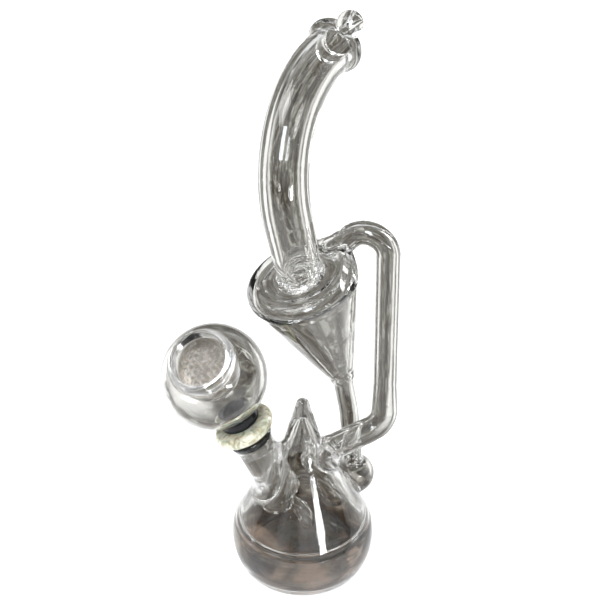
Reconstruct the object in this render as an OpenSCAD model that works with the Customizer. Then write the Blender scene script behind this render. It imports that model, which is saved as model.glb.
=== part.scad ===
// Clear glass recycler water pipe with a lift-out bubble bowl.
// Origin: centre of the foot on the table. +Z up, +X towards the riser, the bowl leans to -X.
// Millimetres.

/* [Base] */
// Radius of the flat foot
foot_r = 25; // [23:0.5:27]
// Largest outer radius of the base
belly_r = 34; // [33:0.5:36]
// Height of the largest radius
belly_z = 18.5; // [17:0.5:20]
// Outer radius where dish and cone are sealed together
seam_r = 33; // [32.4:0.2:33.4]
// Height of that seal
seam_z = 26; // [25:0.5:27]
// Height where the wide cone turns into the steep spike
spike_z = 71; // [69:0.5:73]
// Outer radius at that height
spike_r = 9; // [8.5:0.1:9.8]
// Height of the centre of the spike's round tip
tip_ball_z = 93; // [91:0.2:95]
// Radius of the rounded solid tip
tip_r = 3.2; // [2.8:0.1:3.8]
// Wall of the base
base_wall = 4; // [3.4:0.1:4.4]
// Thickness of the floor
floor_t = 5; // [4:0.5:6]

/* [Ground joint] */
// Lean of the joint from vertical, towards -X
joint_lean = 24.6; // [22:0.2:26]
// Outer radius of the socket tube
socket_r = 9.1; // [8.8:0.1:9.6]
// Outer radius of the socket's flared mouth
mouth_flare_r = 10.7; // [10.2:0.1:11.2]
// Distance from the joint's datum to the mouth
socket_top = 28; // [26:0.5:29]
// Radius of the ground cone of the slide at the datum
ground_r0 = 6.15; // [6.0:0.05:6.3]
// Gap between the ground faces
ground_gap = 0.15; // [0.05:0.05:0.3]
// Outer radius of the black seal ring
seal_r = 7.5; // [7.3:0.1:7.6]
// Running gap between the seal ring and the slide's neck
seal_gap = 0.06; // [0.02:0.01:0.1]

/* [Bowl] */
// Outer radius of the glass globe
globe_r = 24.2; // [22:0.2:25]
// Wall of the globe
globe_wall = 3; // [2.4:0.1:3.4]
// Distance of the globe's centre along the joint axis
globe_s = 64; // [62:0.5:66]
// Outer radius of the ivory hand ring
maria_r = 14.6; // [13:0.1:15]
// Thickness of the ivory hand ring
maria_t = 6; // [5:0.5:7]
// Outer radius of the black collar under the globe
collar_r = 9.4; // [8.5:0.1:11]
// Inner radius of the cup at its rim
cup_r = 12; // [11:0.5:13]
// Depth of the cup below its rim
cup_depth = 21; // [18:0.5:23]

/* [Recycler tubes] */
// Outer radius of the feed tube
feed_r = 5.5; // [5:0.1:6]
// Wall of the feed tube
feed_wall = 2.2; // [1.6:0.1:2.6]
// Bend radius of the feed tube
feed_bend = 10; // [8:0.5:12]
// Outer radius of the drain tube
drain_r = 4.6; // [4.2:0.1:5]
// Wall of the drain tube
drain_wall = 1.8; // [1.4:0.1:2.2]
// Outer radius of the drain bulb
bulb_r = 10; // [9:0.5:10.5]

/* [Upper chamber] */
// Radius of the chamber at its shoulder
chamber_r = 25.3; // [24:0.1:26]
// Wall of the chamber
chamber_wall = 3.6; // [2.8:0.1:3.9]
// Length of the chamber from the lid to its tip
chamber_len = 62.5; // [60:0.5:64]

/* [Neck and mouthpiece] */
// Outer radius of the neck at its foot
neck_foot_r = 9.4; // [9:0.1:10]
// Outer radius of the neck in the bend
neck_r = 10.8; // [10.4:0.1:11.4]
// Wall of the neck
neck_wall = 4; // [3.4:0.1:4.1]
// Length of the straight run
neck_straight = 24; // [22:0.5:28]
// Bend radius of the neck
neck_bend_r = 57; // [54:0.5:60]
// Outer radius of the mouthpiece ring
lip_r = 13; // [12:0.1:14]
// Bore radius of the mouthpiece ring
lip_bore_r = 6.8; // [6.6:0.1:7.2]
// Width of the mouthpiece ring along the tube
lip_w = 6; // [5:0.5:7]

/* [Hidden] */
$fn = 72;

// Base: slopes of the wide cone and of the spike, and the wall measured along a radius
cone_slope = (seam_r - spike_r) / (spike_z - seam_z);
cone_wall_r = base_wall / cos(atan(cone_slope));
spike_angle = atan((spike_r - tip_r) / (tip_ball_z - spike_z));
hollow_top_z = tip_ball_z - 7;

// Joint axis: datum point, then distances "s" along it
joint_o = [-13.2, 0, 50.3];
ground_top_s = 18.6;
taper = 0.05;
socket_low_s = -3.5;
slide_neck_r = 6;
slide_bore_r = 4;
seal_low_s = ground_top_s + 5.4;
end_gap = 0.25;
maria_s = 30.2;
collar_s = maria_s + maria_t;
collar_top_s = collar_s + 5.5;
spigot_r = 5.6;
spigot_bore_r = 3.6;
spigot_top_s = 44;

// Bowl opening direction, seen from the centre of the globe
cup_dir = [-0.26, -0.53, 0.81];
cup_wall = 1.9;
cup_rim_t = sqrt(globe_r * globe_r - pow(cup_r + cup_wall, 2));
screen_t = 2;
screen_drop = 7.5;
screen_hole_r = 0.9;
screen_pitch = 2.9;

// Downstem can and its side arm inside the base
can_r = 7.6;
can_x = -12.4;
ball_z = 37.5;
arm_r = 3.7;
arm_wall = 1;
arm_bend = 6;
arm_in = [-6.6, 0.5, 36];
arm_knee = [1.2, 1, 30];
arm_end = [1.8, -8, 30.5];

// Feed tube: corner points of its run
feed_in = [9, 3.5, 62.5];
feed_low = [38.4, 12, 73.2];
feed_high = [36.9, 12, 186];
feed_out = [13.5, 19, 164];
riser_taper = 14;
arm_tube_r = 6.2;

// Chamber axis: lid centre and upward direction
lid_o = [-1.4, 0, 162.2];
lid_up = [-0.31, -0.13, 0.942];
lid_edge = 4.2;
splash_r = 5.2;
splash_wall = 1.2;
splash_below = 9;
splash_above = 3;

// Drain: corner points of its run
drain_mid = [22, 18.6, 75.5];
bulb_o = [25.5, 24.5, 33];
bulb_wall = 2;
bulb_inlet = [12, 11.5, 36.5];
drain_bend_r = 40;

// Neck: directions at its foot and at the mouth
neck_up = unit([-0.2, 0.08, 1]);
mouth_dir = unit([0.51, 0.834, 0.21]);
mouth_run = 6;

// ---------- helpers ----------

function unit(v) = v / norm(v);
function ring_points(c, r, a0, a1, n = 10) =
    [for (i = [0:n]) c + r * [cos(a0 + (a1 - a0) * i / n), sin(a0 + (a1 - a0) * i / n)]];

// Puts the children's Z axis at point p along direction d
module aim(p, d) {
    translate(p)
        rotate([0, acos(d[2] / norm(d)), atan2(d[1], d[0])])
            children();
}

// Straight tube between two points
module tube(a, b, r, wall) {
    aim(a, b - a)
        linear_extrude(norm(b - a))
            difference() {
                circle(r);
                circle(r - wall);
            }
}

module rod(a, b, r) {
    aim(a, b - a)
        cylinder(h = norm(b - a), r = r);
}

// Sweeps the children along an arc that starts at p along d0 and turns to d1 with bend radius R
module sweep(p, d0, d1, R) {
    u0 = unit(d0);
    u1 = unit(d1);
    side = unit(u1 - (u1 * u0) * u0);
    z = cross(u0, side);
    c = p + R * side;
    multmatrix([
        [-side[0], u0[0], z[0], c[0]],
        [-side[1], u0[1], z[1], c[1]],
        [-side[2], u0[2], z[2], c[2]]
    ])
        rotate_extrude(angle = acos(u0 * u1))
            translate([R, 0])
                children();
}

module tube_bend(p, d0, d1, R, r, wall) {
    sweep(p, d0, d1, R)
        difference() {
            circle(r);
            circle(r - wall);
        }
}

// Where a bend of radius R at corner b starts on the way to neighbour a
function bend_point(a, b, c, R) = b + unit(a - b) * R * tan((180 - corner(a, b, c)) / 2);
function corner(a, b, c) = acos(unit(a - b) * unit(c - b));

module on_joint(s = 0) {
    translate(joint_o)
        rotate([0, -joint_lean, 0])
            translate([0, 0, s])
                children();
}

function joint_point(s) = joint_o + s * [-sin(joint_lean), 0, cos(joint_lean)];

function cone_r(z) = seam_r - (z - seam_z) * cone_slope;

// ---------- base ----------

module base_dish() {
    bulge = belly_r - foot_r + 0.2;
    edge = [for (a = [-90:7.5:15]) [foot_r - 0.2 + bulge * cos(a), belly_z * (1 + sin(a))]];
    hollow = [
        for (a = [10:-8:-70])
            [foot_r - 0.2 + (bulge - base_wall) * cos(a),
             belly_z + (belly_z - floor_t) * sin(a)]
    ];
    color("gainsboro")
        rotate_extrude()
            polygon(concat(
                [[0, 0]],
                edge,
                [[seam_r, seam_z], [seam_r - cone_wall_r, seam_z]],
                hollow,
                [[foot_r - 5, floor_t], [0, floor_t]]
            ));
}

module base_cone() {
    blend = 4;
    flat_in = [seam_r - cone_wall_r, seam_z];
    outer = concat(
        [[seam_r, seam_z], [cone_r(spike_z - blend), spike_z - blend]],
        [[spike_r + 0.35, spike_z + 0.4], [spike_r - blend * tan(spike_angle), spike_z + blend]],
        ring_points([0, tip_ball_z], tip_r, spike_angle, 90, 8)
    );
    color("gainsboro")
        difference() {
            rotate_extrude()
                polygon(concat(outer, [
                    [0, hollow_top_z],
                    [1.6, hollow_top_z - 1],
                    [spike_r - base_wall + 0.5, spike_z],
                    flat_in
                ]));
            on_joint(-9)
                cylinder(h = 40, r = socket_r);
            rod(feed_in, feed_low, arm_tube_r);
            rod(bulb_o, bulb_inlet, drain_r);
        }
}

module joint_socket() {
    bottom_s = socket_low_s;
    bore = ground_r0 + ground_gap;
    color("whitesmoke")
        on_joint()
            rotate_extrude()
                polygon([
                    [bore + bottom_s * taper, bottom_s],
                    [socket_r, bottom_s],
                    [socket_r, socket_top - 6],
                    [mouth_flare_r - 0.3, socket_top - 2.2],
                    [mouth_flare_r, socket_top - 1],
                    [mouth_flare_r - 0.6, socket_top],
                    [mouth_flare_r - 1.6, socket_top],
                    [seal_r + 0.5, socket_top - 3],
                    [seal_r + 0.4, ground_top_s + 0.8],
                    [bore + (ground_top_s + 0.4) * taper, ground_top_s + 0.4]
                ]);
}

// Closed can under the socket, with slots around its round foot
module downstem_can() {
    can_wall = 1.5;
    color("whitesmoke")
        difference() {
            translate([can_x, 0, 0])
                rotate_extrude()
                    polygon(concat(
                        [[can_r - can_wall, joint_o[2] + 4], [can_r, joint_o[2] + 4]],
                        ring_points([0, ball_z], can_r, 0, -90, 8),
                        ring_points([0, ball_z], can_r - can_wall, -90, 0, 8)
                    ));
            on_joint(socket_low_s)
                cylinder(h = 20, r = 14);
            for (a = [90:45:270])
                translate([can_x, 0, ball_z - 1])
                    rotate([0, 0, a])
                        translate([can_r, 0, 0])
                            cube([6, 1, 6], center = true);
            rod(arm_in, arm_knee, arm_r);
        }
}

// Small open side tube of the can, with a bent tip
module diffuser_arm() {
    color("whitesmoke")
        tube(arm_in, bend_point(arm_in, arm_knee, arm_end, arm_bend), arm_r, arm_wall);
}

module diffuser_tip() {
    p = bend_point(arm_in, arm_knee, arm_end, arm_bend);
    color("whitesmoke")
        tube_bend(p, arm_knee - arm_in, arm_end - arm_knee, arm_bend, arm_r, arm_wall);
}

// Closed pick-up can of the feed tube, along the right wall inside the cone
module pickup_can() {
    top_r = 4.6;
    foot_can_r = 6.2;
    can_wall = 1.2;
    top = [4.3, 1.7, 60];
    foot = [14.9, 4.9, 36];
    axis_len = norm(foot - top);
    color("whitesmoke")
        difference() {
            aim(top, foot - top)
                rotate_extrude()
                    polygon(concat(
                        [[top_r - can_wall, 0], [top_r, 0]],
                        ring_points([0, axis_len], foot_can_r, 0, 90, 8),
                        ring_points([0, axis_len], foot_can_r - can_wall, 90, 0, 8)
                    ));
            rod(feed_in - (feed_low - feed_in) * 0.2, feed_low, arm_tube_r);
            aim(top, foot - top)
                for (a = [0:60:300])
                    rotate([0, 0, a])
                        translate([foot_can_r, 0, axis_len - 1])
                            cube([4, 1, 5], center = true);
        }
}

// ---------- recycler ----------

module feed_arm() {
    color("lightgrey")
        tube(feed_in, bend_point(feed_in, feed_low, feed_high, feed_bend), arm_tube_r, feed_wall);
}

module feed_low_elbow() {
    p = bend_point(feed_in, feed_low, feed_high, feed_bend);
    color("lightgrey")
        tube_bend(p, feed_low - feed_in, feed_high - feed_low, feed_bend, arm_tube_r, feed_wall);
}

// Upright tube, a little wider at its foot where it meets the elbow
module feed_riser() {
    a = bend_point(feed_high, feed_low, feed_in, feed_bend);
    b = bend_point(feed_low, feed_high, feed_out, feed_bend);
    len = norm(b - a);
    color("lightgrey")
        aim(a, b - a)
            rotate_extrude()
                polygon([
                    [arm_tube_r - feed_wall, 0],
                    [arm_tube_r, 0],
                    [feed_r, riser_taper],
                    [feed_r, len],
                    [feed_r - feed_wall, len],
                    [feed_r - feed_wall, riser_taper]
                ]);
}

module feed_high_elbow() {
    p = bend_point(feed_low, feed_high, feed_out, feed_bend);
    color("lightgrey")
        tube_bend(p, feed_high - feed_low, feed_out - feed_high, feed_bend, feed_r, feed_wall);
}

module feed_top_arm() {
    color("lightgrey")
        tube(bend_point(feed_out, feed_high, feed_low, feed_bend), feed_out, feed_r, feed_wall);
}

// Path of the feed tube through the chamber's shoulder
module feed_entry() {
    rod(feed_out - (feed_out - feed_high) * 0.3, feed_out + (feed_out - feed_high) * 0.05, feed_r);
}

module chamber_cone() {
    tip = drain_r + 1.1;
    tip_wall = 2;
    color("gainsboro")
        difference() {
            aim(lid_o, lid_up)
                rotate_extrude()
                    polygon([
                        [chamber_r, -lid_edge],
                        [tip + 0.7, 4 - chamber_len],
                        [tip - 0.7, -chamber_len],
                        [drain_r - drain_wall, -chamber_len],
                        [tip - tip_wall, 5.5 - chamber_len],
                        [chamber_r - chamber_wall, -lid_edge]
                    ]);
            feed_entry();
        }
}

module chamber_lid() {
    flat = chamber_r - lid_edge;
    color("gainsboro")
        difference() {
            aim(lid_o, lid_up)
                rotate_extrude()
                    polygon(concat(
                        [[splash_r, -chamber_wall], [splash_r, 0], [neck_foot_r + 2.2, 0]],
                        [[neck_foot_r + 4.5, -0.7]],
                        ring_points([flat, -lid_edge], lid_edge, 90, 0, 9),
                        ring_points([flat, -lid_edge], lid_edge - chamber_wall, 0, 90, 7)
                    ));
            feed_entry();
        }
}

module splash_tube() {
    color("whitesmoke")
        aim(lid_o - unit(lid_up) * splash_below, lid_up)
            linear_extrude(splash_below + splash_above)
                difference() {
                    circle(splash_r);
                    circle(splash_r - splash_wall);
                }
}

drain_top = lid_o - unit(lid_up) * chamber_len;
drain_p1 = bend_point(drain_top, drain_mid, bulb_o, drain_bend_r);
drain_p2 = bend_point(bulb_o, drain_mid, drain_top, drain_bend_r);

// Its upper end is cut along the end plane of the chamber's tip
module drain_upper() {
    overlap = 2;
    color("lightgrey")
        difference() {
            tube(drain_top - overlap * unit(drain_mid - drain_top), drain_p1, drain_r, drain_wall);
            aim(drain_top, lid_up)
                cylinder(h = 3 * overlap, r = 2 * drain_r);
        }
}

module drain_bend() {
    color("lightgrey")
        tube_bend(drain_p1, drain_mid - drain_top, bulb_o - drain_mid, drain_bend_r, drain_r, drain_wall);
}

module drain_lower() {
    color("lightgrey")
        difference() {
            tube(drain_p2, bulb_o, drain_r, drain_wall);
            translate(bulb_o)
                sphere(bulb_r);
        }
}

module drain_bulb() {
    color("gainsboro")
        difference() {
            translate(bulb_o)
                sphere(bulb_r);
            translate(bulb_o)
                sphere(bulb_r - bulb_wall);
            rod(bulb_o, drain_mid, drain_r - drain_wall);
            translate([0, 0, seam_z - 5])
                cylinder(h = spike_z - seam_z, r1 = cone_r(seam_z - 5), r2 = cone_r(spike_z - 5));
        }
}

// ---------- neck ----------

module neck_lower() {
    foot = lid_o - neck_up * 4;
    len = neck_straight + 4;
    color("gainsboro")
        difference() {
            aim(foot, neck_up)
                rotate_extrude()
                    polygon([
                        [neck_foot_r - neck_wall + 0.6, 0],
                        [neck_foot_r, 0],
                        [neck_foot_r + 0.5, 9],
                        [neck_r, len],
                        [neck_r - neck_wall, len],
                        [neck_foot_r - neck_wall + 1, 9]
                    ]);
            aim(lid_o - unit(lid_up) * 12, lid_up)
                cylinder(h = 12, r = 20);
        }
}

neck_start = lid_o + neck_up * neck_straight;
neck_turn = acos(neck_up * mouth_dir);
lip_o = neck_start + neck_bend_r * tan(neck_turn / 2) * (neck_up + mouth_dir);

module neck_bend() {
    color("gainsboro")
        tube_bend(neck_start, neck_up, mouth_dir, neck_bend_r, neck_r, neck_wall);
}

// Last short run of the tube, opened out into a thick rounded ring
module mouth_lip() {
    round_r = lip_w / 2;
    color("whitesmoke")
        aim(lip_o, mouth_dir)
            rotate_extrude()
                polygon(concat(
                    [[neck_r - neck_wall, 0], [neck_r, 0], [neck_r, mouth_run - 0.8]],
                    ring_points([lip_r - round_r, mouth_run + round_r], round_r, -60, 90, 8),
                    [[lip_bore_r + 1, mouth_run + lip_w], [lip_bore_r, mouth_run + lip_w - 1.2]]
                ));
}

bead_r = 5.8;
bead_hole_r = 1.8;
bead_o = lip_o + (mouth_run + lip_w / 2) * mouth_dir + [6.3, -5.4, 11.7];

module lip_bead() {
    color("whitesmoke")
        difference() {
            translate(bead_o)
                sphere(bead_r);
            rod(bead_o - mouth_dir * 8, bead_o + mouth_dir * 8, bead_hole_r);
            rod(lip_o + mouth_dir * mouth_run, lip_o + mouth_dir * (mouth_run + lip_w), lip_r);
            rod(lip_o - mouth_dir * 9, lip_o + mouth_dir * mouth_run, neck_r);
        }
}

// ---------- slide and bowl ----------

module seal_ring() {
    color("#18181a")
        on_joint(seal_low_s)
            linear_extrude(maria_s - end_gap - seal_low_s)
                difference() {
                    circle(seal_r);
                    circle(slide_neck_r + seal_gap);
                }
}

module slide_joint() {
    color("whitesmoke")
        on_joint()
            rotate_extrude()
                polygon([
                    [slide_bore_r, 0],
                    [ground_r0, 0],
                    [ground_r0 + taper * ground_top_s, ground_top_s],
                    [slide_neck_r, ground_top_s],
                    [slide_neck_r, maria_s],
                    [slide_bore_r, maria_s]
                ]);
}

module hand_ring() {
    round_r = maria_t / 2;
    color("#e8e4c8")
        on_joint(maria_s)
            rotate_extrude()
                polygon(concat(
                    [[slide_bore_r, 0]],
                    ring_points([maria_r - round_r, round_r], round_r, -90, 90, 10),
                    [[slide_bore_r, maria_t]]
                ));
}

module bowl_collar() {
    color("#18181a")
        on_joint() {
            difference() {
                rotate_extrude()
                    polygon([
                        [spigot_r, collar_s],
                        [collar_r - 0.6, collar_s],
                        [collar_r, collar_s + 0.6],
                        [collar_r, collar_top_s - 0.8],
                        [collar_r - 0.8, collar_top_s],
                        [spigot_r, collar_top_s]
                    ]);
                translate([0, 0, globe_s])
                    sphere(globe_r);
            }
            rotate_extrude()
                polygon([
                    [spigot_bore_r, collar_s],
                    [spigot_r, collar_s],
                    [spigot_r, spigot_top_s - 0.5],
                    [spigot_r - 0.6, spigot_top_s],
                    [spigot_bore_r, spigot_top_s]
                ]);
        }
}

globe_o = joint_point(globe_s);

module bowl_globe() {
    color("gainsboro")
        difference() {
            translate(globe_o)
                sphere(globe_r);
            translate(globe_o)
                sphere(globe_r - globe_wall);
            on_joint(maria_s)
                cylinder(h = 20, r = spigot_r);
            rod(globe_o, globe_o + 30 * unit(cup_dir), cup_r + cup_wall);
        }
}

// Round-bottomed cup hung from the globe's opening, with one draw hole
module bowl_cup() {
    bottom_t = cup_rim_t - cup_depth;
    hole_r = 2.2;
    out_r = cup_r + cup_wall;
    floor_r = 8;
    color("whitesmoke")
        aim(globe_o, cup_dir)
            rotate_extrude()
                polygon(concat(
                    [[hole_r, bottom_t]],
                    ring_points([out_r - floor_r, bottom_t + floor_r], floor_r, -70, 0, 7),
                    [[out_r, cup_rim_t - 1]],
                    ring_points([cup_r + cup_wall / 2, cup_rim_t], cup_wall / 2, 0, 180, 6),
                    [[cup_r, bottom_t + floor_r + 0.5]],
                    ring_points(
                        [out_r - floor_r, bottom_t + floor_r], floor_r - cup_wall, -2, -70, 7
                    ),
                    [[hole_r, bottom_t + cup_wall + 0.3]]
                ));
}

// Sieve disc that lies in the cup
module bowl_screen() {
    t = cup_rim_t - screen_drop;
    color("lightgrey")
        aim(globe_o + unit(cup_dir) * t, cup_dir)
            difference() {
                cylinder(h = screen_t, r = cup_r - 0.05);
                for (i = [-4:4], j = [-4:4])
                    if (norm(hex(i, j)) < cup_r - 2.2)
                        translate([hex(i, j)[0], hex(i, j)[1], -1])
                            cylinder(h = screen_t + 2, r = screen_hole_r, $fn = 24);
            }
}

function hex(i, j) = screen_pitch * [i + j / 2, j * sin(60)];

base_dish();
base_cone();
joint_socket();
downstem_can();
diffuser_arm();
diffuser_tip();
pickup_can();
feed_arm();
feed_low_elbow();
feed_riser();
feed_high_elbow();
feed_top_arm();
chamber_cone();
chamber_lid();
splash_tube();
drain_upper();
drain_bend();
drain_lower();
drain_bulb();
neck_lower();
neck_bend();
mouth_lip();
lip_bead();
seal_ring();
slide_joint();
hand_ring();
bowl_collar();
bowl_globe();
bowl_cup();
bowl_screen();
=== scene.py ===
import math

import bpy
import numpy as np
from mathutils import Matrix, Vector


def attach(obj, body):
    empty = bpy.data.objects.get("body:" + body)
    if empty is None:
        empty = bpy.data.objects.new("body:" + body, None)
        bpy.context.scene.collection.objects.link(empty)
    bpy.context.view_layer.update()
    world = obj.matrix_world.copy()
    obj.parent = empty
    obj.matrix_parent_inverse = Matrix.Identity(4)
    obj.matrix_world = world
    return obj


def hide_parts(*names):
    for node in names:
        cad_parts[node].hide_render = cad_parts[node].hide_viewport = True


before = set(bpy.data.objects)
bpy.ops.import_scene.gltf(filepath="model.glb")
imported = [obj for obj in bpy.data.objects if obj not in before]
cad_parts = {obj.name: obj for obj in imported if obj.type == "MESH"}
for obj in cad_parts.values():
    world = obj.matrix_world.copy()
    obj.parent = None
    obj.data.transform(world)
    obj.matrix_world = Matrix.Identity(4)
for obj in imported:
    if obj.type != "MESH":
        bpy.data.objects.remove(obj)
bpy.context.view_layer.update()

MM = 0.001


# ---------- distance fields, in millimetres: negative inside ----------

def vec(*v):
    return np.array(v, dtype=np.float64)


def unit(v):
    return v / np.linalg.norm(v)


def smin(a, b, k):
    """Union of a and b with a fillet of about k."""
    h = np.maximum(k - np.abs(a - b), 0) / k
    return np.minimum(a, b) - h * h * k / 4


def smax(a, b, k):
    return -smin(-a, -b, k)


def ball(p, c, r):
    return np.linalg.norm(p - c, axis=1) - r


def line(p, a, b):
    """Distance to the line from a to b, and how far along it, 0 to 1."""
    ab = b - a
    t = np.clip((p - a) @ ab / (ab @ ab), 0, 1)
    return np.linalg.norm(p - a - t[:, None] * ab, axis=1), t


def capsule(p, a, b, ra, rb=None):
    d, t = line(p, a, b)
    return d - (ra if rb is None else ra + (rb - ra) * t)


def above(p, o, n):
    """Signed distance to the plane through o; positive on the side n points to."""
    return (p - o) @ n


def axial(p, o, n):
    """(distance from the axis, distance along it)"""
    q = p - o
    t = q @ n
    return np.sqrt(np.maximum((q * q).sum(1) - t * t, 0)), t


def arc_line(p, start, d0, d1, radius):
    """Distance to an arc that starts at start along d0 and turns to d1."""
    u0, u1 = unit(d0), unit(d1)
    side = unit(u1 - (u1 @ u0) * u0)
    n = np.cross(u0, side)
    q = p - (start + radius * side)
    x, y, z = -(q @ side), q @ u0, q @ n
    total = math.acos(u0 @ u1)
    a = np.arctan2(y, x)
    a = np.where(a < total / 2 - math.pi, total, np.clip(a, 0, total))
    return np.sqrt((x - radius * np.cos(a)) ** 2 + (y - radius * np.sin(a)) ** 2 + z * z)


def bend_point(a, b, c, radius):
    angle = math.acos(unit(a - b) @ unit(c - b))
    return b + unit(a - b) * radius * math.tan((math.pi - angle) / 2)


def ring_points(c, r, a0, a1, n=12):
    t = np.radians(np.linspace(a0, a1, n + 1))
    return [(c[0] + r * math.cos(a), c[1] + r * math.sin(a)) for a in t]


class Profile:
    """Signed distance to a closed outline in (radius, height), from a fine table."""

    def __init__(self, points, step=0.1, pad=6.0):
        pts = np.array(points, dtype=np.float64)
        self.lo = np.array([0.0, pts[:, 1].min() - pad])
        hi = pts.max(0) + pad
        self.step = step
        nr, nz = (np.ceil((hi - self.lo) / step).astype(int) + 1)
        r_axis = self.lo[0] + step * np.arange(nr)
        z_axis = self.lo[1] + step * np.arange(nz)
        r, z = np.meshgrid(r_axis, z_axis, indexing="ij")
        q = np.stack([r.ravel(), z.ravel()], 1)
        best = np.full(len(q), 1e9)
        inside = np.zeros(len(q), bool)
        for a, b in zip(pts, np.roll(pts, -1, 0)):
            if np.allclose(a, b):
                continue
            ab = b - a
            if not (a[0] <= 0 and b[0] <= 0):
                t = np.clip((q - a) @ ab / (ab @ ab), 0, 1)
                best = np.minimum(best, ((q - a - t[:, None] * ab) ** 2).sum(1))
            crosses = (a[1] > q[:, 1]) != (b[1] > q[:, 1])
            with np.errstate(divide="ignore", invalid="ignore"):
                x = a[0] + (q[:, 1] - a[1]) / (b[1] - a[1]) * ab[0]
            inside ^= crosses & (q[:, 0] < x)
        d = np.sqrt(best) * np.where(inside, -1, 1)
        self.table = d.reshape(nr, nz)

    def __call__(self, r, z):
        shape = np.array(self.table.shape)
        u = (r - self.lo[0]) / self.step
        v = (z - self.lo[1]) / self.step
        cu = np.clip(u, 0, shape[0] - 1.001)
        cv = np.clip(v, 0, shape[1] - 1.001)
        i, j = cu.astype(int), cv.astype(int)
        fu, fv = cu - i, cv - j
        t = self.table
        low = t[i, j] * (1 - fu) + t[i + 1, j] * fu
        high = t[i, j + 1] * (1 - fu) + t[i + 1, j + 1] * fu
        return low * (1 - fv) + high * fv + np.hypot(u - cu, v - cv) * self.step


# ---------- turning a field into a mesh ----------

def cell_edges():
    """The 12 edges of a grid cell, as pairs of corners."""
    edges = []
    for axis in range(3):
        first, second = [a for a in range(3) if a != axis]
        for v in (0, 1):
            for u in (0, 1):
                start = [0, 0, 0]
                start[first], start[second] = u, v
                end = list(start)
                end[axis] = 1
                edges.append((tuple(start), tuple(end)))
    return edges


EDGES = cell_edges()
BLOCK = 8


def sample(field, lo, hi, h):
    """The field on a grid of pitch h; far from the surface only its sign is kept."""
    blocks = np.ceil((hi - lo) / (h * BLOCK)).astype(int)
    c = [lo[a] + h * BLOCK * (np.arange(blocks[a]) + 0.5) for a in range(3)]
    centres = np.stack(np.meshgrid(*c, indexing="ij"), -1).reshape(-1, 3)
    coarse = field(centres).reshape(blocks)
    near = np.abs(coarse) < h * BLOCK * 0.9 + 2 * h
    grid = np.where(coarse < 0, -9.0, 9.0)
    for a in range(3):
        grid = np.repeat(grid, BLOCK, axis=a)
        near = np.repeat(near, BLOCK, axis=a)
    at = np.argwhere(near)
    for i in range(0, len(at), 400000):
        part = at[i:i + 400000]
        grid[part[:, 0], part[:, 1], part[:, 2]] = field(lo + h * part)
    return grid


def gradient(field, p, e=0.08):
    g = np.empty_like(p)
    for a in range(3):
        step = np.zeros(3)
        step[a] = e
        g[:, a] = field(p + step) - field(p - step)
    return g / (2 * e)


def surface(field, lo, hi, h, cuts):
    """Surface nets: (vertices, quads, normals) of the zero surface, with the ends at cuts left open."""
    lo, hi = np.array(lo, float), np.array(hi, float)
    grid = sample(field, lo, hi, h)
    n = np.array(grid.shape) - 1
    inside = grid < 0
    count = np.zeros(n, np.int8)
    corners = [(i, j, k) for i in (0, 1) for j in (0, 1) for k in (0, 1)]
    for i, j, k in corners:
        count += inside[i:n[0] + i, j:n[1] + j, k:n[2] + k]
    cells = np.argwhere((count > 0) & (count < 8))
    index = np.full(n, -1, np.int64)
    index[cells[:, 0], cells[:, 1], cells[:, 2]] = np.arange(len(cells))
    total = np.zeros((len(cells), 3))
    hits = np.zeros(len(cells))
    for a, b in EDGES:
        ca, cb = cells + a, cells + b
        va, vb = grid[ca[:, 0], ca[:, 1], ca[:, 2]], grid[cb[:, 0], cb[:, 1], cb[:, 2]]
        cut = (va < 0) != (vb < 0)
        t = np.where(cut, va / np.where(cut, va - vb, 1), 0)
        total[cut] += (ca + t[:, None] * (np.array(b) - np.array(a)))[cut]
        hits += cut
    verts = lo + h * total / hits[:, None]
    quads = []
    for axis in range(3):
        u, v = (axis + 1) % 3, (axis + 2) % 3
        first = [slice(None)] * 3
        second = [slice(None)] * 3
        first[axis], second[axis] = slice(0, -1), slice(1, None)
        ia, ib = inside[tuple(first)], inside[tuple(second)]
        at = np.argwhere(ia != ib)
        at = at[(at[:, u] > 0) & (at[:, v] > 0) & (at[:, u] < n[u]) & (at[:, v] < n[v])]
        flip = ia[at[:, 0], at[:, 1], at[:, 2]]
        ring = []
        for du, dv in ((-1, -1), (0, -1), (0, 0), (-1, 0)):
            q = at.copy()
            q[:, u] += du
            q[:, v] += dv
            ring.append(index[q[:, 0], q[:, 1], q[:, 2]])
        ring = np.stack(ring, 1)
        quads.append(np.where(flip[:, None], ring, ring[:, ::-1]))
    quads = np.concatenate(quads)
    for _ in range(3):
        g = gradient(field, verts)
        d = field(verts)
        move = d[:, None] * g / np.maximum((g * g).sum(1), 0.25)[:, None]
        size = np.linalg.norm(move, axis=1)
        verts -= move * np.minimum(1, 0.5 * h / np.maximum(size, 1e-9))[:, None]
    verts, quads, at = open_ends(field, verts, quads, cuts)
    g = gradient(field, at, 0.15)
    return verts, quads, g / np.maximum(np.linalg.norm(g, axis=1), 1e-9)[:, None]


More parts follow.
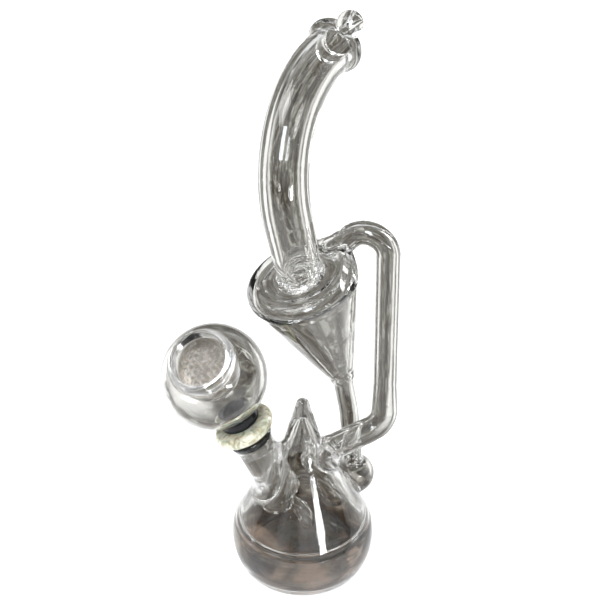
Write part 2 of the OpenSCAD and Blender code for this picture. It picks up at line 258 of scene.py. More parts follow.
def open_ends(field, verts, quads, cuts):
    """Takes the caps off the tube ends that meet another piece, so that the glass runs on.

    Each cut is (point, outward direction, outer radius). The end's rim and its normals are read
    a little way back from the cut. Also returns where to read the normals.
    """
    back = 0.7
    at = verts.copy()
    for o, n, radius in cuts:
        rho, d = axial(verts, o, n)
        on_cap = (np.abs(d) < 0.08) & (rho < radius + 0.25)
        cap = on_cap[quads].all(1)
        rim = np.zeros(len(verts), bool)
        rim[quads[cap].ravel()] = True
        kept = np.zeros(len(verts), bool)
        kept[quads[~cap].ravel()] = True
        rim = np.flatnonzero(rim & kept)
        q = verts[rim] - (d[rim, None] + back) * n
        start = q.copy()
        for _ in range(4):
            g = gradient(field, q)
            g -= (g @ n)[:, None] * n
            q -= field(q)[:, None] * g / np.maximum((g * g).sum(1), 0.25)[:, None]
        good = np.linalg.norm(q - start, axis=1) < 0.6
        verts[rim[good]] = q[good] + (back - SEAM_GAP) * n
        at[rim[good]] = q[good]
        beside = (d > -0.6) & (d < 0.1) & (rho < radius + 0.4)
        at[beside] = (verts - (d[:, None] + back) * n)[beside]
        quads = quads[~cap]
    used, flat = np.unique(quads, return_inverse=True)
    return verts[used], flat.reshape(quads.shape), at[used]


def piece(name, field, lo, hi, h, material, body, nodes, cuts=()):
    verts, quads, normals = surface(field, lo, hi, h, cuts)
    mesh = bpy.data.meshes.new(name)
    mesh.vertices.add(len(verts))
    mesh.vertices.foreach_set("co", (verts * MM).astype(np.float32).ravel())
    mesh.loops.add(4 * len(quads))
    mesh.loops.foreach_set("vertex_index", quads.astype(np.int32).ravel())
    mesh.polygons.add(len(quads))
    mesh.polygons.foreach_set("loop_start", np.arange(0, 4 * len(quads), 4, dtype=np.int32))
    mesh.update(calc_edges=True)
    mesh.validate()
    mesh.polygons.foreach_set("use_smooth", np.ones(len(mesh.polygons), bool))
    mesh.normals_split_custom_set_from_vertices(normals.astype(np.float32))
    obj = bpy.data.objects.new(name, mesh)
    bpy.context.collection.objects.link(obj)
    mesh.materials.append(material)
    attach(obj, body)
    if nodes:
        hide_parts(*nodes)
    print("piece", name, len(verts), "vertices")
    return obj


# ---------- sizes shared with the CAD part ----------

JOINT_O = vec(-13.2, 0, 50.3)
JOINT_A = unit(vec(-0.41628, 0, 0.90924))
FEED = [vec(9, 3.5, 62.5), vec(38.4, 12, 73.2), vec(36.9, 12, 186), vec(13.5, 19, 164)]
FEED_BEND = 10.0
FEED_R, FEED_ARM_R, FEED_WALL = 5.5, 6.2, 2.2
LID_O = vec(-1.4, 0, 162.2)
LID_UP = unit(vec(-0.31, -0.13, 0.942))
CHAMBER_LEN = 62.5
DRAIN_TOP = LID_O - CHAMBER_LEN * LID_UP
DRAIN_MID = vec(22, 18.6, 75.5)
BULB_O = vec(25.5, 24.5, 33)
BULB_R, BULB_WALL = 10.0, 2.0
DRAIN_R, DRAIN_BORE, DRAIN_BEND = 4.6, 2.8, 40.0
NECK_UP = unit(vec(-0.2, 0.08, 1))
MOUTH_DIR = unit(vec(0.51, 0.834, 0.21))
NECK_START = LID_O + 24 * NECK_UP
NECK_BEND = 57.0
NECK_R, NECK_WALL = 10.8, 4.0
NECK_TURN = math.acos(NECK_UP @ MOUTH_DIR)
LIP_O = NECK_START + NECK_BEND * math.tan(NECK_TURN / 2) * (NECK_UP + MOUTH_DIR)
LIP_BORE_R = 6.8
BEAD_O = LIP_O + 9 * MOUTH_DIR + vec(6.3, -5.4, 11.7)
BEAD_R, BEAD_HOLE_R = 5.8, 1.8
GLOBE_O = JOINT_O + 64 * JOINT_A
GLOBE_R, GLOBE_WALL = 24.2, 3.0
SLIDE_BORE_R, SPIGOT_R = 4.0, 5.6
CUP_DIR = unit(vec(-0.26, -0.53, 0.81))
SEAM_GAP = 0.005  # how far each piece stays back from a cut


# ---------- materials ----------

def new_material(name):
    mat = bpy.data.materials.new(name)
    mat.use_nodes = True
    nodes = mat.node_tree.nodes
    return mat, nodes, mat.node_tree.links, nodes["Principled BSDF"]


def noise(nodes, links, vector, scale, detail, roughness=0.5, distortion=0.0):
    node = nodes.new("ShaderNodeTexNoise")
    node.inputs["Scale"].default_value = scale
    node.inputs["Detail"].default_value = detail
    node.inputs["Roughness"].default_value = roughness
    node.inputs["Distortion"].default_value = distortion
    links.new(vector, node.inputs["Vector"])
    return node.outputs["Fac"]


def ramp(nodes, links, value, stops):
    """The colour that stops, as (position, colour) pairs, give to value."""
    node = nodes.new("ShaderNodeValToRGB")
    elements = node.color_ramp.elements
    elements.remove(elements[-1])
    elements[0].position, elements[0].color = stops[0][0], (*stops[0][1], 1)
    for at, colour in stops[1:]:
        elements.new(at).color = (*colour, 1)
    links.new(value, node.inputs["Fac"])
    return node.outputs["Color"]


def waves(nodes, links, shader, scale, distance, strength):
    """Slow ripples of hand-worked glass; returns the object's coordinates."""
    coords = nodes.new("ShaderNodeTexCoord").outputs["Object"]
    height = noise(nodes, links, coords, scale, 2.0, 0.4, 0.6)
    bump = nodes.new("ShaderNodeBump")
    bump.inputs["Strength"].default_value = strength
    bump.inputs["Distance"].default_value = distance
    links.new(height, bump.inputs["Height"])
    links.new(bump.outputs["Normal"], shader.inputs["Normal"])
    return coords


def clear_glass(name, colour, rough=0.0, scale=55.0, distance=0.002, strength=0.10):
    mat, nodes, links, shader = new_material(name)
    shader.inputs["Base Color"].default_value = (*colour, 1)
    shader.inputs["Transmission Weight"].default_value = 1.0
    shader.inputs["IOR"].default_value = 1.47
    shader.inputs["Roughness"].default_value = rough
    waves(nodes, links, shader, scale, distance, strength)
    return mat


def black_glass():
    mat, nodes, links, shader = new_material("black_glass")
    shader.inputs["Base Color"].default_value = (0.005, 0.005, 0.006, 1)
    shader.inputs["Roughness"].default_value = 0.08
    shader.inputs["Specular IOR Level"].default_value = 0.22
    waves(nodes, links, shader, 220, 0.001, 0.2)
    return mat


def ivory_glass():
    """Cloudy marbled ivory under a clear polish."""
    mat, nodes, links, shader = new_material("ivory_glass")
    coords = waves(nodes, links, shader, 300, 0.001, 0.3)
    cloud = noise(nodes, links, coords, 260.0, 4.0, distortion=1.2)
    tint = ramp(nodes, links, cloud, [(0.38, (0.34, 0.32, 0.21)), (0.56, (0.66, 0.64, 0.50))])
    links.new(tint, shader.inputs["Base Color"])
    shader.inputs["Roughness"].default_value = 0.1
    shader.inputs["Coat Weight"].default_value = 1.0
    shader.inputs["Subsurface Weight"].default_value = 0.35
    shader.inputs["Subsurface Scale"].default_value = 0.002
    return mat


CLEAR = clear_glass("clear_glass", (0.95, 0.948, 0.935))
GROUND = clear_glass("ground_glass", (0.95, 0.945, 0.93), rough=0.2)
BLACK = black_glass()
IVORY = ivory_glass()


# ---------- base vessel with its socket, inner cans and stubs ----------

outer_edge = [(24.8 + 9.2 * math.cos(a), 18.5 * (1 + math.sin(a))) for a in np.radians(np.arange(-90, 8, 6))]
base_out = Profile(
    [(0, 0)] + outer_edge
    + [(33.7, 22.6), (33.4, 24.2), (32.9, 25.8), (32.2, 27.3), (31.2, 29.3)]
    + [(33 - (z - 26) * 0.5333, z) for z in (32, 40, 50, 60, 64)]
    + [(11.3, 67.2), (10.1, 69.8), (9.2, 72.2), (8.3, 75.0)]
    + ring_points((0, 93), 3.2, 14.8, 90) + [(0, 96.2)]
)
hollow_edge = [
    (24.8 + 5.2 * math.cos(a), 18.5 + 13.5 * math.sin(a))
    for a in np.radians(np.arange(-74, 11, 7))
]
base_in = Profile(
    [(0, 5.4), (12, 5.1), (19, 4.9), (23, 5.0)] + hollow_edge
    + [(29.4, 23.2), (28.6, 24.6), (27.5, 25.5), (27.4, 26.6), (27.7, 27.6), (27.2, 28.8)]
    + [(28.47 - (z - 26) * 0.5104, z) for z in (31, 45, 60)]
    + [(7.9, 66.6), (5.9, 70.6), (4.6, 74.6), (3.1, 80)] + [(1.5, 85), (0.9, 86), (0, 86.3)]
)
socket_out = Profile(
    [(0, -9), (9.1, -9), (9.1, 20.5), (9.5, 23), (10.3, 25.6)]
    + ring_points((9.5, 26.8), 1.2, 0, 90, 8) + [(8.9, 28), (0, 28)]
)
socket_bore = Profile(
    [(0, -3), (6.15, -3), (7.23, 18.6), (7.3, 19.0), (7.9, 19.6), (7.9, 27.0)]
    + [(8.6, 28.2), (9.4, 29.2), (9.8, 34), (0, 34)]
)
CAN_FOOT = vec(-12.4, 0, 37.5)
CAN_R, CAN_WALL = 7.6, 1.5
ARM_R, ARM_WALL = 3.7, 1.0
PICK_TOP, PICK_FOOT, PICK_WALL = vec(4.3, 1.7, 60), vec(14.9, 4.9, 36), 1.2
ARM = [vec(-6.6, 0.5, 36), vec(1.2, 1, 30), vec(1.8, -8, 30.5)]
ARM_BEND = 6.0
ARM_A = bend_point(ARM[0], ARM[1], ARM[2], ARM_BEND)
ARM_B = bend_point(ARM[2], ARM[1], ARM[0], ARM_BEND)
F1 = bend_point(FEED[0], FEED[1], FEED[2], FEED_BEND)
F2 = bend_point(FEED[2], FEED[1], FEED[0], FEED_BEND)
F3 = bend_point(FEED[1], FEED[2], FEED[3], FEED_BEND)
F4 = bend_point(FEED[3], FEED[2], FEED[1], FEED_BEND)
ARM_DIR = unit(FEED[1] - FEED[0])
FEED_CUT = FEED[0] + 13.5 * ARM_DIR
TOP_DIR = unit(FEED[3] - FEED[2])
TOP_CUT = FEED[3] - 9.5 * TOP_DIR
DRAIN_DIR = unit(BULB_O - DRAIN_MID)
BULB_CUT = BULB_O - 10.5 * DRAIN_DIR
DRAIN_DOWN = unit(DRAIN_MID - DRAIN_TOP)


def base_field(p):
    r = np.hypot(p[:, 0], p[:, 1])
    outer = base_out(r, p[:, 2])
    solid = smax(outer, -base_in(r, p[:, 2]), 0.8)
    rho, s = axial(p, JOINT_O, JOINT_A)
    solid = smin(solid, socket_out(rho, s), 4.5)
    solid = smin(solid, capsule(p, CAN_FOOT, CAN_FOOT + vec(0, 0, 14.5), CAN_R), 1.5)
    arm = np.minimum(line(p, ARM[0], ARM_A)[0], line(p, ARM_B, ARM[2])[0])
    arm = np.minimum(arm, arc_line(p, ARM_A, ARM[1] - ARM[0], ARM[2] - ARM[1], ARM_BEND))
    solid = smin(solid, arm - ARM_R, 1.5)
    pick = capsule(p, PICK_TOP, PICK_FOOT, 4.6, 6.2)
    solid = smin(solid, pick, 1.0)
    stub, t = line(p, FEED[0] - 2 * ARM_DIR, FEED_CUT + 6 * ARM_DIR)
    solid = smin(solid, np.maximum(stub - FEED_ARM_R, above(p, FEED_CUT, ARM_DIR) + SEAM_GAP), 5.5)
    solid = smin(solid, ball(p, BULB_O, BULB_R), 2.5)
    drain = line(p, BULB_O, BULB_CUT - 4 * DRAIN_DIR)[0] - DRAIN_R
    solid = smin(solid, np.maximum(drain, above(p, BULB_CUT, -DRAIN_DIR) + SEAM_GAP), 2.5)
    can_bore = capsule(p, CAN_FOOT, CAN_FOOT + vec(0, 0, 13), CAN_R - CAN_WALL)
    bores = np.minimum(socket_bore(rho, s), can_bore)
    bores = np.minimum(bores, arm - ARM_R + ARM_WALL)
    bores = np.minimum(bores, pick + PICK_WALL)
    bores = np.minimum(bores, stub - (FEED_ARM_R - FEED_WALL))
    room = smax(ball(p, BULB_O, BULB_R - BULB_WALL), -(outer - 0.2), 1.0)
    bores = np.minimum(bores, room)
    bores = np.minimum(bores, line(p, BULB_O, BULB_CUT - 8 * DRAIN_DIR)[0] - DRAIN_BORE)
    bores = np.minimum(bores, line(p, BULB_O, vec(16, 15.5, 35.5))[0] - 2.6)
    q = p - (CAN_FOOT - vec(0, 0, 1.5))
    for a in np.radians((90, 135, 180, 225, 270)):
        along = q[:, 0] * math.cos(a) + q[:, 1] * math.sin(a)
        across = np.abs(q[:, 1] * math.cos(a) - q[:, 0] * math.sin(a))
        slot = np.maximum(np.maximum(across - 0.55, np.abs(q[:, 2]) - 3), np.abs(along - 7) - 4)
        bores = np.minimum(bores, slot)
    return smax(solid, -bores, 0.5)


BASE_NODES = ("base_dish", "base_cone", "joint_socket", "downstem_can", "diffuser_arm", "diffuser_tip",
              "pickup_can", "drain_bulb")
piece("base_vessel", base_field, (-36, -36, -1.5), (38, 37, 98), 0.5, CLEAR, "rig", BASE_NODES,
      [(FEED_CUT, ARM_DIR, FEED_ARM_R), (BULB_CUT, -DRAIN_DIR, DRAIN_R)])


# ---------- feed tube ----------

def feed_field(p):
    riser, t = line(p, F2, F3)
    low_elbow = arc_line(p, F1, FEED[1] - FEED[0], FEED[2] - FEED[1], FEED_BEND)
    top_elbow = arc_line(p, F3, FEED[2] - FEED[1], FEED[3] - FEED[2], FEED_BEND)
    low = np.minimum(line(p, FEED[0], F1)[0], low_elbow)
    low = np.maximum(low - FEED_ARM_R, -above(p, FEED_CUT, ARM_DIR) + SEAM_GAP)
    top = np.minimum(line(p, F4, FEED[3])[0], top_elbow)
    near_top = p[:, 2] > 140
    trimmed = np.maximum(top - FEED_R, above(p, TOP_CUT, TOP_DIR) + SEAM_GAP)
    top = np.where(near_top, trimmed, top - FEED_R)
    grow = (FEED_ARM_R - FEED_R) * np.clip(1 - t * np.linalg.norm(F3 - F2) / 16, 0, 1)
    out = np.minimum(np.minimum(low, riser - FEED_R - grow), top)
    low_core = np.minimum(line(p, FEED[0] - 9 * ARM_DIR, F1)[0], low_elbow) - FEED_ARM_R
    top_core = np.minimum(line(p, F4, FEED[3] + 9 * TOP_DIR)[0], top_elbow) - FEED_R
    core = np.minimum(np.minimum(low_core, riser - FEED_R - grow), top_core)
    return np.maximum(out, -(core + FEED_WALL))


FEED_NODES = ("feed_arm", "feed_low_elbow", "feed_riser", "feed_high_elbow", "feed_top_arm")
piece("feed_tube", feed_field, (14, 0, 58), (47, 28, 190), 0.45, CLEAR, "rig", FEED_NODES,
      [(FEED_CUT, -ARM_DIR, FEED_ARM_R), (TOP_CUT, TOP_DIR, FEED_R)])


# ---------- upper chamber ----------

chamber_out = Profile(
    [(0, 0), (11.2, 0.2), (13.2, -0.7), (15.2, -0.4), (16.8, 0.05), (18.4, -0.25), (20, -0.05)]
    + ring_points((21.1, -4.2), 4.2, 90, -25, 12)
    + [(23.4, -9.4), (17.0, -28.5), (10.6, -47.5), (7.2, -57), (6.3, -59.2), (6.3, -60.6)]
    + [(5.9, -62.5), (0, -62.5)]
)
chamber_in = Profile(
    [(0, -3.6), (10, -3.4), (13, -4.0), (16, -3.5), (18.6, -3.9)] + ring_points((20.2, -5.2), 1.6, 80, -25, 10)
    + [(20.6, -8.0), (13.4, -28.5), (6.9, -47.5), (3.9, -57), (3.0, -60), (2.8, -61)]
    + [(2.8, -70), (0, -70)]
)
NECK_CUT = LID_O + 7.5 * NECK_UP
NECK_CUT_R = 10.2
FOOT_LEN = 28.0
TIP_R = 5.9


def neck_foot(p):
    """(outer, bore) fields of the straight foot of the neck, and the distance along it."""
    rho, t = axial(p, LID_O - 4 * NECK_UP, NECK_UP)
    heights = [0, 9, FOOT_LEN]
    outer = rho - np.interp(t, heights, [9.4, 9.9, NECK_R])
    bore = rho - np.interp(t, heights, [6.0, 6.4, NECK_R - NECK_WALL])
    return outer, bore, t


def chamber_field(p):
    rho, t = axial(p, LID_O, LID_UP)
    shell = smax(chamber_out(rho, t), -chamber_in(rho, t), 0.8)
    neck, neck_bore, _ = neck_foot(p)
    neck = np.maximum(neck, -(t + 1.5))
    solid = smin(shell, neck, 3.0)
    stub, _ = line(p, TOP_CUT - 4 * TOP_DIR, FEED[3])
    solid = smin(solid, stub - FEED_R, 3.5)
    solid = smax(solid, -np.maximum(neck_bore, -(t + 0.2)), 0.5)
    splash = np.maximum(rho - 5.2, np.abs(t + 3) - 6)
    solid = smin(solid, splash, 1.2)
    splash_bore = np.maximum(rho - 4.0, np.abs(t + 3) - 10)
    feed_bore = line(p, TOP_CUT - 8 * TOP_DIR, FEED[3] + 1.5 * TOP_DIR)[0] - (FEED_R - FEED_WALL)
    d = smax(solid, -np.minimum(splash_bore, feed_bore), 0.5)
    d = np.maximum(d, above(p, NECK_CUT, NECK_UP) + SEAM_GAP)
    d = np.maximum(d, -above(p, TOP_CUT, TOP_DIR) + SEAM_GAP)
    return np.maximum(d, -(t + CHAMBER_LEN) + SEAM_GAP)


CHAMBER_NODES = ("chamber_cone", "chamber_lid", "splash_tube")
piece("upper_chamber", chamber_field, (-30, -29, 94), (29, 29, 174), 0.5, CLEAR, "rig",
      CHAMBER_NODES,
      [(NECK_CUT, NECK_UP, NECK_CUT_R), (TOP_CUT, -TOP_DIR, FEED_R), (DRAIN_TOP, -LID_UP, TIP_R)])


# ---------- drain tube ----------

D1 = bend_point(DRAIN_TOP, DRAIN_MID, BULB_O, DRAIN_BEND)
D2 = bend_point(BULB_O, DRAIN_MID, DRAIN_TOP, DRAIN_BEND)


def drain_field(p):
    bend = arc_line(p, D1, DRAIN_MID - DRAIN_TOP, BULB_O - DRAIN_MID, DRAIN_BEND)
    c = np.minimum(line(p, DRAIN_TOP - 4 * DRAIN_DOWN, D1)[0], bend)
    c = np.minimum(c, line(p, D2, BULB_O)[0])
    rho, t = axial(p, DRAIN_TOP, LID_UP)
    weld = np.hypot(rho - 4.2, t + 0.2) - 1.7
    d = smax(smin(c - DRAIN_R, weld, 1.5), -(c - DRAIN_BORE), 0.4)
    d = np.maximum(d, t + SEAM_GAP)
    return np.maximum(d, -above(p, BULB_CUT, -DRAIN_DIR) + SEAM_GAP)


DRAIN_NODES = ("drain_upper", "drain_bend", "drain_lower")
piece("drain_tube", drain_field, (8, -1, 38), (33, 32, 108), 0.4, CLEAR, "rig", DRAIN_NODES,
      [(DRAIN_TOP, LID_UP, TIP_R), (BULB_CUT, DRAIN_DIR, DRAIN_R)])


# ---------- neck, mouth ring and bead ----------

RING_CUT = LIP_O + 3.0 * MOUTH_DIR


def neck_field(p):
    straight_out, straight_bore, t = neck_foot(p)
    arc = arc_line(p, NECK_START, NECK_UP, MOUTH_DIR, NECK_BEND)
    run = line(p, LIP_O, LIP_O + 8 * MOUTH_DIR)[0]
    bent = np.minimum(arc, run) - NECK_R
    straight = (t < FOOT_LEN) & (ball(p, LID_O, 45) < 0)
    out = np.where(straight, straight_out, bent)
    bore = np.where(straight, straight_bore, bent + NECK_WALL)
    d = np.maximum(out, -bore)
    d = np.maximum(d, -above(p, NECK_CUT, NECK_UP) + SEAM_GAP)
    return np.maximum(d, above(p, RING_CUT, MOUTH_DIR) + SEAM_GAP)


NECK_NODES = ("neck_lower", "neck_bend")
piece("neck_tube", neck_field, (-22, -15, 160), (30, 62, 262), 0.5, CLEAR, "rig", NECK_NODES,
      [(NECK_CUT, -NECK_UP, NECK_CUT_R), (RING_CUT, MOUTH_DIR, NECK_R)])

lip_out = Profile(
    [(0, 0), (NECK_R, 0), (NECK_R, 5)] + ring_points((10.0, 9), 3.0, -62, 90, 14) + [(9.2, 12), (0, 12)]
)


def ring_field(p):
    rho, s = axial(p, LIP_O, MOUTH_DIR)
    solid = lip_out(rho, s)
    hole = line(p, BEAD_O - 9 * MOUTH_DIR, BEAD_O + 9 * MOUTH_DIR)[0] - BEAD_HOLE_R
    bead = smax(ball(p, BEAD_O, BEAD_R), -hole, 0.8)
    solid = smin(solid, bead, 1.4)
    d = smax(solid, -(rho - LIP_BORE_R), 1.6)
    return np.maximum(d, -above(p, RING_CUT, MOUTH_DIR) + SEAM_GAP)


RING_NODES = ("mouth_lip", "lip_bead")
piece("mouth_ring", ring_field, (-6, 30, 226), (32, 66, 264), 0.4, CLEAR, "rig", RING_NODES,
      [(RING_CUT, -MOUTH_DIR, NECK_R)])


# ---------- bowl ----------

cup_out = Profile(
    [(0, -1.2)] + ring_points((5.9, 6.8), 8.0, -80, 0, 10) + [(13.9, 19.9), (0, 19.9)]
)
cup_in = Profile(
    [(0, 0.9)] + ring_points((5.9, 6.8), 6.1, -80, 0, 10) + [(12.0, 16), (12.0, 30), (0, 30)]
)


def globe_field(p):
    shell = smax(ball(p, GLOBE_O, GLOBE_R), -ball(p, GLOBE_O, GLOBE_R - GLOBE_WALL), 0.6)
    rho, t = axial(p, GLOBE_O, CUP_DIR)
    solid = smin(shell, cup_out(rho, t), 1.6)
    solid = smin(solid, np.hypot(rho - 12.95, t - 19.7) - 1.25, 1.0)
    d = smax(solid, -cup_in(rho, t), 1.0)
    d = smax(d, -np.maximum(rho - 2.2, np.abs(t) - 6), 0.5)
    spigot_rho, s = axial(p, JOINT_O, JOINT_A)
    return np.maximum(d, -np.maximum(spigot_rho - (SPIGOT_R + 0.03), s - 50))


GLOBE_NODES = ("bowl_globe", "bowl_cup")
GLOBE_REACH = 25.5
piece("bowl_globe_glass", globe_field, GLOBE_O - GLOBE_REACH, GLOBE_O + GLOBE_REACH, 0.45, CLEAR,
      "bowl", GLOBE_NODES)

slide_out = Profile(
    [(0, 0), (5.9, 0), (6.15, 0.4), (7.08, 18.4), (6.9, 18.8), (6.0, 19.2), (6.0, 30.18), (0, 30.18)]
)


def slide_field(p):
    rho, s = axial(p, JOINT_O, JOINT_A)
    return smax(slide_out(rho, s), -(rho - SLIDE_BORE_R), 0.4)


piece("slide_glass", slide_field, (-36, -9, 46), (-4, 9, 84), 0.35, GROUND, "bowl",
      ("slide_joint",))

hand_ring_out = Profile([(0, 30.22)] + ring_points((11.6, 33.2), 2.98, -90, 90, 14) + [(0, 36.18)])


def hand_ring_field(p):
    rho, s = axial(p, JOINT_O, JOINT_A)
    return smax(hand_ring_out(rho, s), -(rho - SLIDE_BORE_R), 0.4)


piece("hand_ring_glass", hand_ring_field, (-46, -16, 68), (-10, 16, 94), 0.4, IVORY, "bowl",
      ("hand_ring",))

collar_out = Profile(
    [(0, 36.22), (8.6, 36.22)]
    + ring_points((8.2, 37.5), 1.2, -80, 0, 5)
    + ring_points((8.2, 40.4), 1.2, 0, 90, 6)
    + [(SPIGOT_R, 41.6), (SPIGOT_R, 43.4), (5.2, 44), (0, 44)]
)


def collar_field(p):
    rho, s = axial(p, JOINT_O, JOINT_A)
    d = smax(collar_out(rho, s), -(rho - 3.6), 0.4)
    under_globe = -ball(p, GLOBE_O, GLOBE_R + 0.03)
    return np.maximum(d, np.where(rho > SPIGOT_R, under_globe, -9))


piece("collar_glass", collar_field, (-42, -11, 78), (-18, 11, 96), 0.3, BLACK, "bowl",
      ("bowl_collar",))

# wide enough to touch the socket's wall, so that no air gap hides its black behind reflections
seal_out = Profile(
    [(0, 24.05), (7.7, 24.05), (7.97, 24.3), (7.97, 27.0), (7.6, 27.6), (7.5, 29.6), (7.2, 29.9), (0, 29.9)]
)


def seal_field(p):
    rho, s = axial(p, JOINT_O, JOINT_A)
    return smax(seal_out(rho, s), -(rho - 6.06), 0.3)


piece("seal_glass", seal_field, (-36, -9, 62), (-12, 9, 84), 0.3, BLACK, "seal", ("seal_ring",))

# darker brown-grey glass for the screen in the bottom of the cup
DARK_SCREEN_GLASS = clear_glass("screen_glass", (0.62, 0.57, 0.52), rough=0.02, scale=420.0, strength=0.35)
for screen_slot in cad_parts["bowl_screen"].material_slots:
    screen_slot.material = DARK_SCREEN_GLASS


# ---------- stage, lights, camera ----------

def lamp(name, centre, size, power, target=(0, 0, 0.12), colour=(1, 1, 1)):
    data = bpy.data.lights.new(name, "AREA")
    data.shape = "RECTANGLE"
    data.size, data.size_y = size
    data.energy = power
    data.color = colour
    obj = bpy.data.objects.new(name, data)
    bpy.context.collection.objects.link(obj)
    obj.location = centre
    obj.rotation_euler = (Vector(target) - Vector(centre)).to_track_quat("-Z", "Y").to_euler()


def maths(nodes, links, op, a, b=None):
    """One Math node on sockets or numbers."""
    node = nodes.new("ShaderNodeMath")
    node.operation = op
    for socket, value in zip(node.inputs, (a, b)):
        if isinstance(value, (int, float)):
            socket.default_value = value
        elif value is not None:
            links.new(value, socket)
    return node.outputs["Value"]


def blend(nodes, links, factor, a, b, mode="MIX"):
    """Colour a mixed with b; factor is a socket or a number, and b a socket or a colour."""
    node = nodes.new("ShaderNodeMix")
    node.data_type = "RGBA"
    node.blend_type = mode
    if isinstance(factor, float):
        node.inputs["Factor"].default_value = factor
    else:
        links.new(factor, node.inputs["Factor"])
    links.new(a, node.inputs["A"])
    if isinstance(b, tuple):
        node.inputs["B"].default_value = (*b, 1)
    else:
        links.new(b, node.inputs["B"])
    return node.outputs["Result"]


def grey(level):
    return (level, level, level)


def painted_glass_reflections(nodes, links):
    """Painted reflections and shade for the glass to show, as a glow: mottled brown and grey, warmer under the
    foot, with white gaps between four dark lobes further out.
    """
    coords = nodes.new("ShaderNodeTexCoord").outputs["Object"]
    split = nodes.new("ShaderNodeSeparateXYZ")
    links.new(coords, split.inputs["Vector"])
    x, y = split.outputs["X"], split.outputs["Y"]

    def calc(op, a, b=None):
        return maths(nodes, links, op, a, b)

    radius = calc("SQRT", calc("ADD", calc("MULTIPLY", x, x), calc("MULTIPLY", y, y)))
    coarse = noise(nodes, links, coords, 14.0, 7.0, 0.62)
    fine = noise(nodes, links, coords, 55.0, 6.0, distortion=0.8)
    both = nodes.new("ShaderNodeMix")
    links.new(ramp(nodes, links, radius, [(0.07, grey(0.5)), (0.14, grey(0.4))]), both.inputs["Factor"])
    links.new(coarse, both.inputs["A"])
    links.new(fine, both.inputs["B"])
    tint = ramp(nodes, links, both.outputs["Result"], [
        (0.42, (0.010, 0.005, 0.003)), (0.475, (0.045, 0.031, 0.020)),
        (0.52, (0.125, 0.117, 0.092)), (0.585, (0.44, 0.44, 0.40)),
    ])
    # painted shade and reflection: browner and darker under the foot
    near = ramp(nodes, links, radius, [(0.03, (0.62, 0.43, 0.35)), (0.075, grey(1))])
    warm = blend(nodes, links, 1.0, tint, near, "MULTIPLY")
    grey_fade = ramp(nodes, links, radius, [(0.08, grey(0)), (0.15, grey(0.1))])
    pale = blend(nodes, links, grey_fade, warm, (0.50, 0.49, 0.45))
    # painted reflections: four dark lobes, with white gaps between them further out
    lobe = calc("COSINE", calc("MULTIPLY", calc("ARCTAN2", y, x), 4.0))
    lobe = calc("ADD", lobe, calc("MULTIPLY", calc("SUBTRACT", coarse, 0.5), 3.0))
    lobe = calc("ADD", calc("MULTIPLY", lobe, 0.5), 0.5)
    gap = ramp(nodes, links, lobe, [(0.18, grey(1)), (0.42, grey(0))])
    far = ramp(nodes, links, radius, [(0.07, grey(0)), (0.14, grey(1))])
    return blend(nodes, links, blend(nodes, links, 1.0, gap, far, "MULTIPLY"), pale, (1.1, 1.1, 1.08))


def room_floor():
    """White to the camera and to the lamps; rays that come through glass see a glow of painted reflections and
    shade instead.
    """
    mat, nodes, links, shader = new_material("floor_white_painted_reflections")
    shader.inputs["Base Color"].default_value = (0.8, 0.8, 0.8, 1)
    shader.inputs["Roughness"].default_value = 0.9
    shader.inputs["Emission Color"].default_value = (1, 1, 1, 1)
    shader.inputs["Emission Strength"].default_value = 0.55
    glow = nodes.new("ShaderNodeEmission")
    # glass looks through to this glow of painted reflections and shade instead of the white floor
    links.new(painted_glass_reflections(nodes, links), glow.inputs["Color"])
    path = nodes.new("ShaderNodeLightPath")
    mix = nodes.new("ShaderNodeMixShader")
    links.new(path.outputs["Is Transmission Ray"], mix.inputs["Fac"])
    links.new(shader.outputs["BSDF"], mix.inputs[1])
    links.new(glow.outputs["Emission"], mix.inputs[2])
    links.new(mix.outputs["Shader"], nodes["Material Output"].inputs["Surface"])
    return mat


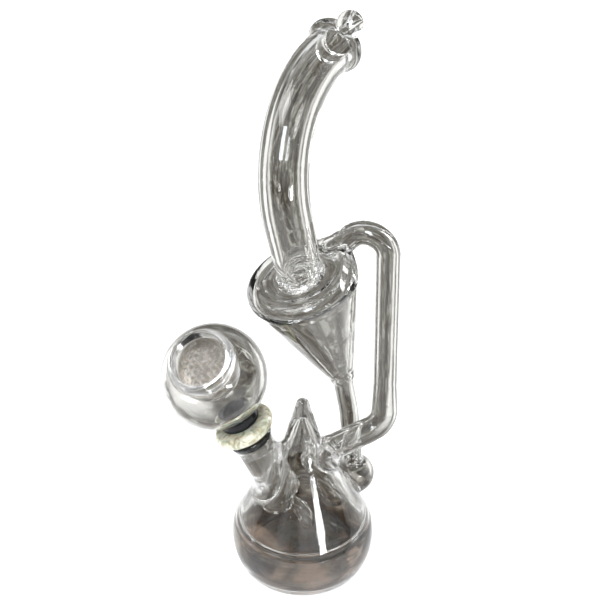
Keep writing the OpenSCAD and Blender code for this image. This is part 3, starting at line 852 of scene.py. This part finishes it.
def floor(half=30.0):
    mesh = bpy.data.meshes.new("floor")
    corners = [(-half, -half, 0), (half, -half, 0), (half, half, 0), (-half, half, 0)]
    mesh.from_pydata(corners, [], [(0, 1, 2, 3)])
    mesh.materials.append(room_floor())
    obj = bpy.data.objects.new("floor", mesh)
    bpy.context.collection.objects.link(obj)


def studio():
    """A bright room, darker near the horizon and with a few dark patches for the glass to show."""
    world = bpy.data.worlds.new("studio")
    world.use_nodes = True
    nodes, links = world.node_tree.nodes, world.node_tree.links
    coords = nodes.new("ShaderNodeTexCoord").outputs["Generated"]
    split = nodes.new("ShaderNodeSeparateXYZ")
    links.new(coords, split.inputs["Vector"])
    height = ramp(nodes, links, split.outputs["Z"], [
        (0.0, (0.30, 0.29, 0.27)), (0.12, (0.42, 0.41, 0.39)), (0.26, (0.95, 0.95, 0.96)), (0.75, grey(1)),
    ])
    patches = ramp(nodes, links, noise(nodes, links, coords, 2.4, 2.0), [
        (0.40, (0.05, 0.04, 0.03)), (0.46, (0.30, 0.30, 0.27)), (0.53, (0.93, 0.95, 0.96)), (0.64, grey(1)),
    ])
    background = nodes["Background"]
    links.new(blend(nodes, links, 1.0, height, patches, "MULTIPLY"), background.inputs["Color"])
    background.inputs["Strength"].default_value = 0.95
    bpy.context.scene.world = world


floor()
studio()
lamp("key", (-0.7, -0.2, 1.3), (0.6, 0.6), 9)
lamp("window", (-0.35, -1.1, 1.15), (0.4, 0.6), 16, colour=(0.88, 0.94, 1))
lamp("rim", (0.8, 0.6, 0.7), (0.2, 0.8), 5)
lamp("door", (0.84, -1.25, 0.34), (0.34, 0.17), 5.5, colour=(0.95, 0.97, 1))

bpy.context.scene.view_settings.view_transform = "Standard"
# light crosses many glass walls on its way to the camera
bpy.context.scene.cycles.max_bounces = 32
bpy.context.scene.cycles.transmission_bounces = 32
bpy.context.scene.cycles.glossy_bounces = 12

cam_data = bpy.data.cameras.new("camera")
cam_data.lens = 78
cam_data.sensor_width = 36
camera = bpy.data.objects.new("camera", cam_data)
bpy.context.collection.objects.link(camera)
camera.location = (-0.0012, -0.4788, 0.4458)
camera.rotation_euler = (math.radians(58.2), 0, 0)
bpy.context.scene.camera = camera
